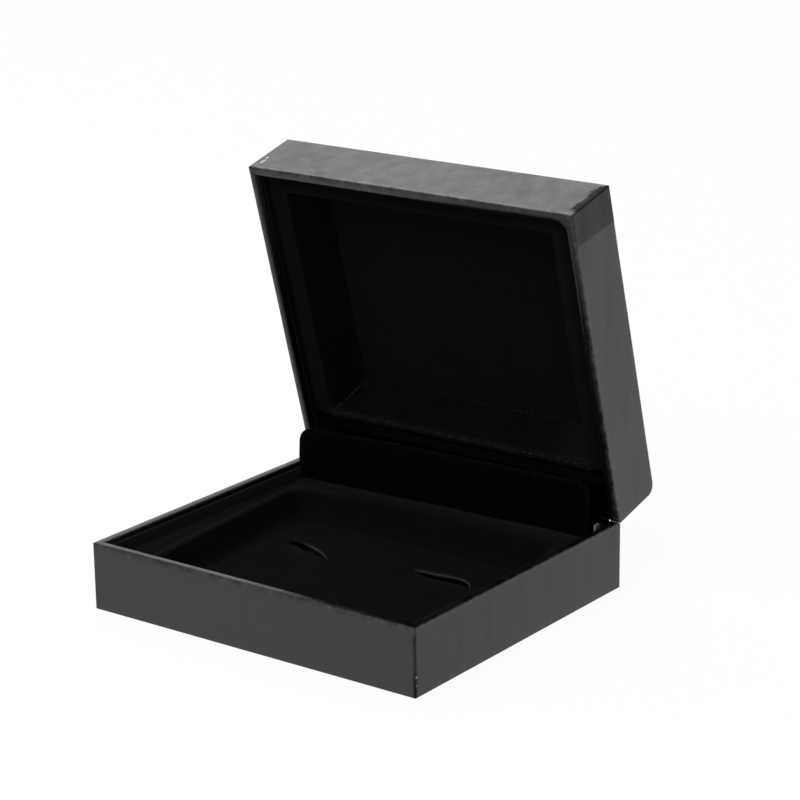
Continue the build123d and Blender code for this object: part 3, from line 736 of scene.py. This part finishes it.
def make_card():
    """The flocked card: rounded upper corners, soft edges, a slight bow and its free left end curled
    forward above the ledge, in the place of its node."""
    points = [v.co / TO_METRES for v in nodes["hinge_cover_card"].data.vertices]
    low = node_box("hinge_cover_card")[0]
    # the card's own axes, from its foot's corners: along its width, through its thickness, and up its face
    foot = [p for p in points if p.z < low.z + 0.2]
    front_left, back_left = sorted((p for p in foot if p.x < 0), key=lambda p: p.y)[::len(foot) // 2 - 1]
    front_right = min((p for p in foot if p.x > 0), key=lambda p: p.y)
    along, through = (front_right - front_left).normalized(), (back_left - front_left).normalized()
    up = along.cross(through)
    foot_middle = (front_left + front_right) / 2
    width, thickness = (front_right - front_left).length, (back_left - front_left).length
    height = max((p - foot_middle).dot(up) for p in points)
    place = Matrix((along, up, through)).transposed().to_4x4()
    place.translation = foot_middle
    edge = thickness / 2

    def shape(p):
        """Rounds the upper corners of a panel point, bows the panel a little and curls its left end."""
        x, z, depth = p
        reach = width / 2 - CARD_RADIUS
        over_x, over_z = abs(x) - reach, z - (height - CARD_RADIUS)
        if over_x > 0 and over_z > 0:
            square = max(over_x, over_z)
            away = math.hypot(over_x, over_z)
            x = math.copysign(reach + over_x * square / away, x)
            z = height - CARD_RADIUS + over_z * square / away
        bow = 0.25 * math.cos(math.pi * x / width) * smooth(z / height)
        curl = CARD_CURL * smooth((-x - 20) / 14) * smooth((z - CARD_CURL_FROM) / 4)
        return (x, z, depth + bow - curl)

    card = soft_panel("hinge_cover_card_flocked", (-width / 2, 0, 0), (width / 2, height, thickness), place,
                      edge * 0.9, 1.2, 0.05, 3.3, shape)
    dress(card, "base", "card_cloth", "hinge_cover_card")


# ---- flocked trays: the insert frames ----
def ring_points(x_low, x_high, y_low, y_high, radius, counts=(44, 34, 9)):
    """Points round a rounded rectangle; their number doesn't depend on its size."""
    along_x, along_y, along_corner = counts
    radius = max(radius, 0.05)
    ring = []
    corners = [((x_high - radius, y_low + radius), -90), ((x_high - radius, y_high - radius), 0),
               ((x_low + radius, y_high - radius), 90), ((x_low + radius, y_low + radius), 180)]
    runs = [along_y, along_x, along_y, along_x]
    for k, ((cx, cy), start) in enumerate(corners):
        arc = [(cx + radius * math.cos(math.radians(start + a)), cy + radius * math.sin(math.radians(start + a)))
               for a in spread(0, 90, 90 / along_corner)]
        ring += arc
        (nx, ny), angle = corners[(k + 1) % 4]
        end = (nx + radius * math.cos(math.radians(angle)), ny + radius * math.sin(math.radians(angle)))
        for s in spread(0, 1, 1 / runs[k])[1:-1]:
            ring.append((arc[-1][0] + (end[0] - arc[-1][0]) * s, arc[-1][1] + (end[1] - arc[-1][1]) * s))
    return ring


def tray_profile(lip_radius, foot_radius, draft, depth):
    """(inward, down) steps from the ledge over the lip, down the slope and out onto the floor level."""
    slope = math.radians(90 - draft)
    reach = depth * math.tan(math.radians(draft))
    lip, foot = lip_radius * math.tan(slope / 2), foot_radius * math.tan(slope / 2)
    steps = [(-2.4 * lip, 0.0)]
    for turn in spread(0, slope, slope / 6):
        steps.append((-lip + lip_radius * math.sin(turn), lip_radius * (1 - math.cos(turn))))
    bottom_start = (reach + foot - foot_radius * math.sin(slope), depth - foot_radius * (1 - math.cos(slope)))
    steps += [(steps[-1][0] + (bottom_start[0] - steps[-1][0]) * s,
               steps[-1][1] + (bottom_start[1] - steps[-1][1]) * s) for s in spread(0, 1, 0.16)[1:-1]]
    for turn in reversed(spread(0, slope, slope / 5)):
        steps.append((reach + foot - foot_radius * math.sin(turn), depth - foot_radius * (1 - math.cos(turn))))
    return steps


def make_tray(name, body, node, mouth, well, ledge, floor, root, outer, corner, radii, softness, creases_and_painted_light, seed,
              lean=0.0):
    """A flocked insert frame: outer wall, level ledge, rounded lip, slope, and the edge down beside the pad."""
    depth = ledge - floor
    draft = math.degrees(math.atan2(mouth[1] - well[1], depth))
    steps = tray_profile(radii[0], radii[1], draft, depth)
    rings, kinds = [], []
    ox0, ox1, oy0, oy1 = outer
    for inset, z, kind in ((0.0, root, "side"), (0.0, ledge - 0.7, "side"), (0.0, ledge - 0.3, "side"),
                           (0.1, ledge - 0.08, "edge"), (0.35, ledge, "edge")):
        ring = ring_points(ox0 + inset, ox1 - inset, oy0 + inset, oy1 - inset, 0.4)
        rings.append([(x, y, z) for x, y in ring])
        kinds.append(kind)
    reach = mouth[1] - well[1]
    for inward, down in steps:
        radius = max(corner - max(inward, 0) * 0.35, 0.35)
        ring = ring_points(mouth[0] + inward, mouth[1] - inward, mouth[2] + inward, mouth[3] - inward, radius)
        rings.append([(x, y, ledge - down) for x, y in ring])
        kinds.append("lip" if abs(inward) < 0.6 else "foot" if down > depth - 0.02 else "slope")
    for inward, drop in ((steps[-1][0], 0.02), (steps[-1][0] - 0.6, 0.10), (reach, 0.14), (reach, floor - root)):
        level = ring_points(mouth[0] + inward, mouth[1] - inward, mouth[2] + inward, mouth[3] - inward,
                            max(corner - inward * 0.35, 0.35))
        rings.append([(x, y, floor - drop) for x, y in level])
        kinds.append("foot" if drop < 0.05 else "under")
    points, crease, painted_light = [], [], []
    count = len(rings[0])
    for ring, kind in zip(rings, kinds):
        for x, y, z in ring:
            wave = softness * (bump_noise(x, y, z, 11, seed) + 0.4 * bump_noise(x, y, z, 3.2, seed + 2))
            if kind == "side":
                wave = 0
            side_skew = creases_and_painted_light.get("skew", 0) * smooth(-x / 20 - 0.4) * smooth((ledge + 0.5 - z + 2) / 3)
            inside = 1 if kind in ("lip", "slope") else 0
            x += inside * side_skew * -(y + 2) / 20
            y += lean * (ledge - z) * smooth((y - oy1 + 3) / 2.5) if kind in ("side", "edge") else 0
            points.append((x, y, z + wave * (0 if kind in ("foot", "under") else 1)))
            value = 0.0
            on_corner = min(abs(abs(x) - (mouth[1] - (ledge - z) * reach / depth)), 9) < 0.35 and \
                min(abs(y - (mouth[3] - (ledge - z) * reach / depth)), 9) < 0.35
            if kind == "lip" and y > mouth[3] - 1.2:
                value = creases_and_painted_light["lip"]
            if on_corner and x < 0 and kind in ("slope", "lip", "foot"):
                value = max(value, creases_and_painted_light["corner"])
            if kind == "foot" and y > 0:
                value = max(value, creases_and_painted_light["foot"] * smooth(0.45 + x / 50))
            crease.append(value)
            # painted light: the frame's sides, ledge edge, lip and slope are painted paler, the slope more at the
            # base's rear and the lid's right
            rear = creases_and_painted_light.get("rear", 0) * smooth((y - mouth[3] + (ledge - z) * reach / depth + 3) / 2.5)
            lip = 1.0 + 0.5 * smooth(-x / 15 - 1) - rear
            nap_tone_and_painted_light = {"side": 1, "edge": 1, "lip": lip, "slope": 0.15 + rear}.get(kind, 0)
            right = creases_and_painted_light.get("right", 0) * smooth(x / 10 - 1.8) if kind == "slope" else 0
            painted_light.append(creases_and_painted_light["painted_light"] * nap_tone_and_painted_light + right)
    faces = grid_faces(len(rings), count, closed=True)
    faces += [((len(rings) - 1) * count + j, (len(rings) - 1) * count + (j + 1) % count, (j + 1) % count, j)
              for j in range(count)]
    place = PLACE_LID if body == "lid" else Matrix.Identity(4)
    tray = make_object(name, points, faces, place, {"crease": crease, "painted_light": painted_light})
    dress(tray, body, "velvet", node)
    return tray


# ---- pads ----
SLITS = (  # points along the two cuts, from left to right
    ((-23.5, 6.5), (-22.1, 7.7), (-19.9, 7.3), (-18.0, 6.6), (-14.7, 5.4), (-12.3, 4.1), (-10.2, 2.5)),
    ((8.2, 7.3), (9.6, 7.9), (11.5, 8.0), (14.2, 8.2), (17.0, 8.6), (20.3, 8.3), (22.3, 7.0), (24.4, 4.4)),
)
SLIT_ROW = 5.0
SHEET = 0.52
BORDER_COVERED = 1.6


def through(points, x):
    """The y at x on a smooth curve through points, level beyond its ends."""
    x = min(max(x, points[0][0]), points[-1][0])
    k = next(i for i in range(len(points) - 1) if x <= points[i + 1][0])

    def slope(i):
        before, after = points[max(i - 1, 0)], points[min(i + 1, len(points) - 1)]
        return (after[1] - before[1]) / (after[0] - before[0])

    (x0, y0), (x1, y1) = points[k], points[k + 1]
    run = x1 - x0
    t = (x - x0) / run
    return (y0 * (1 + 2 * t) * (1 - t) ** 2 + y1 * t * t * (3 - 2 * t)
            + run * slope(k) * t * (1 - t) ** 2 - run * slope(k + 1) * t * t * (1 - t))


def slit_curve(x):
    """The y of the cuts' line at x, drawn to a level line between and beyond the two slits."""
    y = SLIT_ROW
    for cut in SLITS:
        away = max(cut[0][0] - x, x - cut[-1][0], 0)
        y += (through(cut, x) - SLIT_ROW) * smooth(1 - away / 7)
    return y


def in_slit(x):
    """0 outside the cuts, rising to 1 in the middle of one."""
    for cut in SLITS:
        left, right = cut[0][0], cut[-1][0]
        if left < x < right:
            return math.sin(math.pi * (x - left) / (right - left)) ** 0.5
    return 0.0


def tongue(x):
    """How deep the tongue's edge hangs below the cut at x, and how bright the cut face above it is frayed."""
    if x > 0:
        return 1.55, 0.8
    along = smooth((x - SLITS[0][0][0]) / (SLITS[0][-1][0] - SLITS[0][0][0]))
    return 2.3 - 0.9 * along, 0.15 + 0.85 * smooth(1.6 * along)


def make_cufflink_pad():
    """The pad: its rows bend along the two slits, where the cut gapes and the tongues sit lower."""
    low, high = node_box("cufflink_pad")
    top = high.z
    columns = spread_fine(low.x, high.x, 0.7, 3.0, 4)
    behind = [high.y - d for d in spread(0, high.y - SLIT_ROW - 0.9, 1.0)] + [SLIT_ROW + d for d in (0.45, 0.14, 0)]
    before = [SLIT_ROW - d for d in (0, 0.2, 0.6)] + [SLIT_ROW - 1.2 - d for d in spread(0, SLIT_ROW - 1.2 - low.y, 1.0)]
    rows = [(y, 1) for y in behind] + [(y, -1) for y in before]
    points, cut_face = [], []
    for y0, part in rows:
        for x in columns:
            span = (high.y - SLIT_ROW) if part > 0 else (SLIT_ROW - low.y)
            away = abs(y0 - SLIT_ROW)
            y = y0 + (slit_curve(x) - SLIT_ROW) * (1 - smooth(away / min(span, 15)))
            cut = in_slit(x)
            border = min(x - low.x, high.x - x, high.y - y, y - low.y)
            free = smooth((border - BORDER_COVERED) / 4)
            z = top - 0.34 * (1 - smooth((border - 0.4) / (BORDER_COVERED - 0.4))) - 0.03 * (1 - free)
            z += free * (0.09 * bump_noise(x, y, 0, 13, 4) + 0.05 * bump_noise(x, y, 0, 4, 9))
            z += 0.10 * smooth(1 - abs(x) / 28) * smooth(1 - abs(y + 3) / 22)
            if part > 0:
                z += 0.16 * cut * math.exp(-away / 1.3)
            else:
                z -= tongue(x)[0] * cut * math.exp(-away / 1.7)
                y -= 0.35 * cut * math.exp(-away / 0.8)
            points.append((x, y, z))
            cut_face.append(min(1.0, 1.6 * cut) * tongue(x)[1] if part > 0 and away < 0.05 else 0.0)
    gap_row = len(behind) - 1
    open_columns = [in_slit(x) > 0 for x in columns]

    def skip(i, j):
        return i == gap_row and (open_columns[j] or open_columns[j + 1])

    pad = make_object("cufflink_pad_flocked", points, grid_faces(len(rows), len(columns), skip),
                      Matrix.Identity(4), {"cut": cut_face}, 60)
    thickened(pad, SHEET)
    dress(pad, "base", "velvet", "cufflink_pad")


def make_support_foam():
    """The foam under the pad, hollowed below each slit for the cufflink's toggle."""
    low, high = node_box("pad_support_foam")
    top = node_box("cufflink_pad")[1].z - SHEET - 0.1

    def shape(p):
        lift = (p.z - low.z) / (high.z - low.z) * (top - low.z)
        border = min(p.x - low.x, high.x - p.x, high.y - p.y, p.y - low.y)
        lift -= 0.35 * (1 - smooth((border - 0.9) / 0.9)) * min(lift, 1)
        for cut in SLITS:
            middle_x, middle_y = (cut[0][0] + cut[-1][0]) / 2, through(cut, (cut[0][0] + cut[-1][0]) / 2) - 2.5
            inside = min(10.5 - abs(p.x - middle_x), 7 - abs(p.y - middle_y))
            lift -= (top - low.z - 0.4) * smooth(inside / 1.2) * (lift / (top - low.z))
        return (p.x, p.y, low.z + lift)

    foam = soft_panel("pad_foam_block", low, high, Matrix.Identity(4), 0.35, 1.0, 0.05, 6.2, shape)
    dress(foam, "base", "foam", "pad_support_foam")


def make_flat_pad(name, node, body, slot_name, crown, seed):
    """A pad or foam block that lies in its tray, with soft edges and a slight crown."""
    low, high = node_box(node, shut=body == "lid")
    middle = (low + high) / 2
    half = (high - low) / 2

    def shape(p):
        across = (p - middle)
        share = (1 - (across.x / half.x) ** 2) * (1 - (across.y / half.y) ** 2)
        return (p.x, p.y, p.z + crown * max(share, 0))

    place = SWING if body == "lid" else Matrix.Identity(4)
    # painted light: the flocked pad is painted a little paler; the foam's material ignores it
    pad = soft_panel(name, low, high, place, 0.35, 1.2, 0.06, seed, shape, painted_light=0.6)
    dress(pad, body, slot_name, node)


# ---- chips in the leatherette, where the white paper shows ----
def chip(name, body, place, centre, along, across, out, size, seed):
    """A small ragged flake of bare paper lying on an edge."""
    centre, along, across, out = Vector(centre), Vector(along), Vector(across), Vector(out)
    count, rings = 14, 3
    points = [centre + out * 0.05]
    for r in range(1, rings + 1):
        for k in range(count):
            turn = 2 * math.pi * k / count
            ragged = 1 + 0.35 * bump_noise(math.cos(turn), math.sin(turn), seed, 0.45, seed)
            share = r / rings * ragged
            lift = 0.05 * (1 - (r / rings) ** 2) - (0.12 if r == rings else 0)
            points.append(centre + along * size[0] * share * math.cos(turn)
                          + across * size[1] * share * math.sin(turn) + out * lift)
    faces = [(0, 1 + k, 1 + (k + 1) % count) for k in range(count)]
    for r in range(rings - 1):
        a = 1 + r * count
        faces += [(a + k, a + count + k, a + count + (k + 1) % count, a + (k + 1) % count) for k in range(count)]
    last = 1 + (rings - 1) * count
    faces.append(tuple(last + k for k in reversed(range(count))))
    flake = make_object(name, points, faces, place)
    flake.data.materials.append(BARE_PAPER if body == "lid" else DARKER_PAPER)
    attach(flake, body)
    return flake


def make_chips():
    """Two long flakes and a crumb on the lid's front edge, and two crumbs on the base's front right edge."""
    for k, (x, z, length, width) in enumerate(((1.62, 8.95, 0.50, 0.38), (1.85, 10.7, 1.25, 0.34),
                                               (1.5, 12.2, 0.22, 0.14))):
        chip(f"lid_edge_chip_{k + 1}", "lid", PLACE_LID, (-HALF_WIDTH + x, -HALF_DEPTH - 0.05, z),
             (-0.1, 0, 0.99), (0.99, 0, 0.1), (0, -1, 0), (length, width), 1.7 * k)
    for k, (y, z, size) in enumerate(((0.44, 4.2, 0.33), (0.30, 2.5, 0.16))):
        chip(f"base_edge_chip_{k + 1}", "base", PLACE_BASE, (HALF_WIDTH + 0.03, -HALF_DEPTH + y, z),
             (0, 0, 1), (0, 1, 0), (1, 0, 0), (size, size), 3.1 * k)


# ---- the nodes that keep their own meshes ----
def dress_nodes():
    slots = {part["node"]: part["material_slot"] for part in frame["record"]["subparts"]}
    for name, obj in nodes.items():
        if obj.hide_render:
            continue
        for place in obj.material_slots:
            place.material = MATERIALS[slots[name]]


# ---- the stage: floor, light and camera ----
CAMERA_AZIMUTH = math.radians(37.05)
CAMERA_ELEVATION = math.radians(17.12)
CAMERA_ROLL = math.radians(0.84)
CAMERA_DISTANCE = 539.1
CAMERA_TARGET = Vector((10.95, 0.0, 43.88))
FOCAL_PIXELS = 2761.0
IMAGE_PIXELS = 800
SENSOR = 36.0


def make_camera():
    away = Vector((math.cos(CAMERA_ELEVATION) * math.sin(CAMERA_AZIMUTH),
                   -math.cos(CAMERA_ELEVATION) * math.cos(CAMERA_AZIMUTH), math.sin(CAMERA_ELEVATION)))
    ahead = -away
    level = ahead.cross(Vector((0, 0, 1))).normalized()
    down = ahead.cross(level)
    right = math.cos(CAMERA_ROLL) * level + math.sin(CAMERA_ROLL) * down
    lower = math.cos(CAMERA_ROLL) * down - math.sin(CAMERA_ROLL) * level
    data = bpy.data.cameras.new("camera")
    data.sensor_width = SENSOR
    data.lens = FOCAL_PIXELS * SENSOR / IMAGE_PIXELS
    data.clip_start, data.clip_end = 0.01, 20
    camera = bpy.data.objects.new("camera", data)
    bpy.context.scene.collection.objects.link(camera)
    turn = Matrix((right, -lower, away)).transposed().to_4x4()
    camera.matrix_world = Matrix.Translation((CAMERA_TARGET + away * CAMERA_DISTANCE) * TO_METRES) @ turn
    bpy.context.scene.camera = camera


FLOOR_SIZE = 6.0
FLOOR_GLOW = 0.955
WORLD_STRENGTH = 0.45


def seen_directly(tree):
    """1 for rays from the camera and for mirrored and transmitted ones, which see a white studio."""
    path = add_node(tree, "ShaderNodeLightPath")
    seen = calculate(tree, "MAXIMUM", path.outputs["Is Camera Ray"], path.outputs["Is Glossy Ray"])
    return calculate(tree, "MAXIMUM", seen, path.outputs["Is Transmission Ray"])


def make_floor():
    mesh = bpy.data.meshes.new("floor")
    half = FLOOR_SIZE / 2
    mesh.from_pydata([(-half, -half, 0), (half, -half, 0), (half, half, 0), (-half, half, 0)], [], [(0, 1, 2, 3)])
    floor = bpy.data.objects.new("floor", mesh)
    bpy.context.scene.collection.objects.link(floor)
    material, tree, shader = new_material("floor")
    shader.inputs["Base Color"].default_value = (0.97, 0.97, 0.97, 1)
    shader.inputs["Roughness"].default_value = 0.9
    shader.inputs["Specular IOR Level"].default_value = 0.0
    glow = add_node(tree, "ShaderNodeEmission", {"Color": (1.0, 1.0, 1.0, 1), "Strength": 1.0}).outputs[0]
    share = calculate(tree, "MULTIPLY", seen_directly(tree), FLOOR_GLOW)
    mix = add_node(tree, "ShaderNodeMixShader", {0: share, 1: shader.outputs[0], 2: glow})
    tree.links.new(mix.outputs[0], tree.nodes["Material Output"].inputs["Surface"])
    mesh.materials.append(material)


def area_light(name, place, target, size, power):
    data = bpy.data.lights.new(name, "AREA")
    data.shape = "RECTANGLE"
    data.size, data.size_y = size
    data.energy = power
    light = bpy.data.objects.new(name, data)
    light.location = place
    light.rotation_mode = "QUATERNION"
    light.rotation_quaternion = (Vector(target) - Vector(place)).to_track_quat("-Z", "Y")
    bpy.context.scene.collection.objects.link(light)


def make_light():
    world = bpy.data.worlds.new("world")
    bpy.context.scene.world = world
    world.use_nodes = True
    tree = world.node_tree
    background = tree.nodes["Background"]
    background.inputs["Color"].default_value = (1.0, 1.0, 1.0, 1)
    strength = ramp(tree, seen_directly(tree), 0, 1, WORLD_STRENGTH, 1.0)
    tree.links.new(strength, background.inputs["Strength"])
    area_light("overhead_softbox", (-0.60, 0.48, 0.85), (0, 0, 0.04), (0.7, 0.7), 1.7)
    area_light("front_softbox", (-0.25, -0.75, 0.95), (0, 0, 0.04), (1.2, 0.7), 11.0)


random.seed(4)
make_leatherette()
make_linings()
make_card()
base_low, base_high = node_box("base_insert_frame")
pad_low, pad_high = node_box("cufflink_pad")
SOFT_GAP = 0.15
base_well = (pad_low.x - SOFT_GAP, pad_high.x + SOFT_GAP, pad_low.y - SOFT_GAP, pad_high.y + SOFT_GAP)
MOUTH_STEP = math.tan(math.radians(31.5))


def mouth_of(well, depth):
    step = depth * MOUTH_STEP
    return (well[0] - step, well[1] + step, well[2] - step, well[3] + step)


# painted light: the base frame's flock is painted paler, more so on its rear slope
make_tray("base_insert_flocked", "base", "base_insert_frame",
          mouth_of(base_well, base_high.z - pad_high.z), base_well, base_high.z, pad_high.z, base_low.z,
          (base_low.x, base_high.x, base_low.y, base_high.y), 4.5, (1.3, 3.4), 0.12,
          {"lip": 0.0, "corner": 0.0, "foot": 0.0, "painted_light": 1.0, "skew": 1.5, "rear": 0.4}, 2.5)
lid_low, lid_high = lid_box("lid_insert_frame")
lid_pad_low, lid_pad_high = lid_box("lid_pad")
lid_well = (lid_pad_low.x - SOFT_GAP, lid_pad_high.x + SOFT_GAP, lid_pad_low.y - SOFT_GAP, lid_pad_high.y + SOFT_GAP)
# painted light: the lid frame's flock is painted a little paler, more so on its right slope
make_tray("lid_insert_flocked", "lid", "lid_insert_frame",
          mouth_of(lid_well, lid_pad_low.z - lid_low.z), lid_well, LID_TOP - lid_low.z, LID_TOP - lid_pad_low.z,
          LID_TOP - lid_high.z, (lid_low.x, lid_high.x, lid_low.y, lid_high.y), 0.8, (0.5, 0.4), 0.06,
          {"lip": 0.5, "corner": 1.0, "foot": 1.3, "painted_light": 0.4, "right": 0.75}, 6.5)
make_cufflink_pad()
make_flat_pad("lid_pad_flocked", "lid_pad", "lid", "velvet", 0.0, 5.1)
make_flat_pad("lid_foam_block", "lid_pad_foam", "lid", "foam", 0.0, 5.7)
make_support_foam()
make_chips()
dress_nodes()
make_floor()
make_light()
make_camera()

scene = bpy.context.scene
scene.view_settings.view_transform = "Standard"
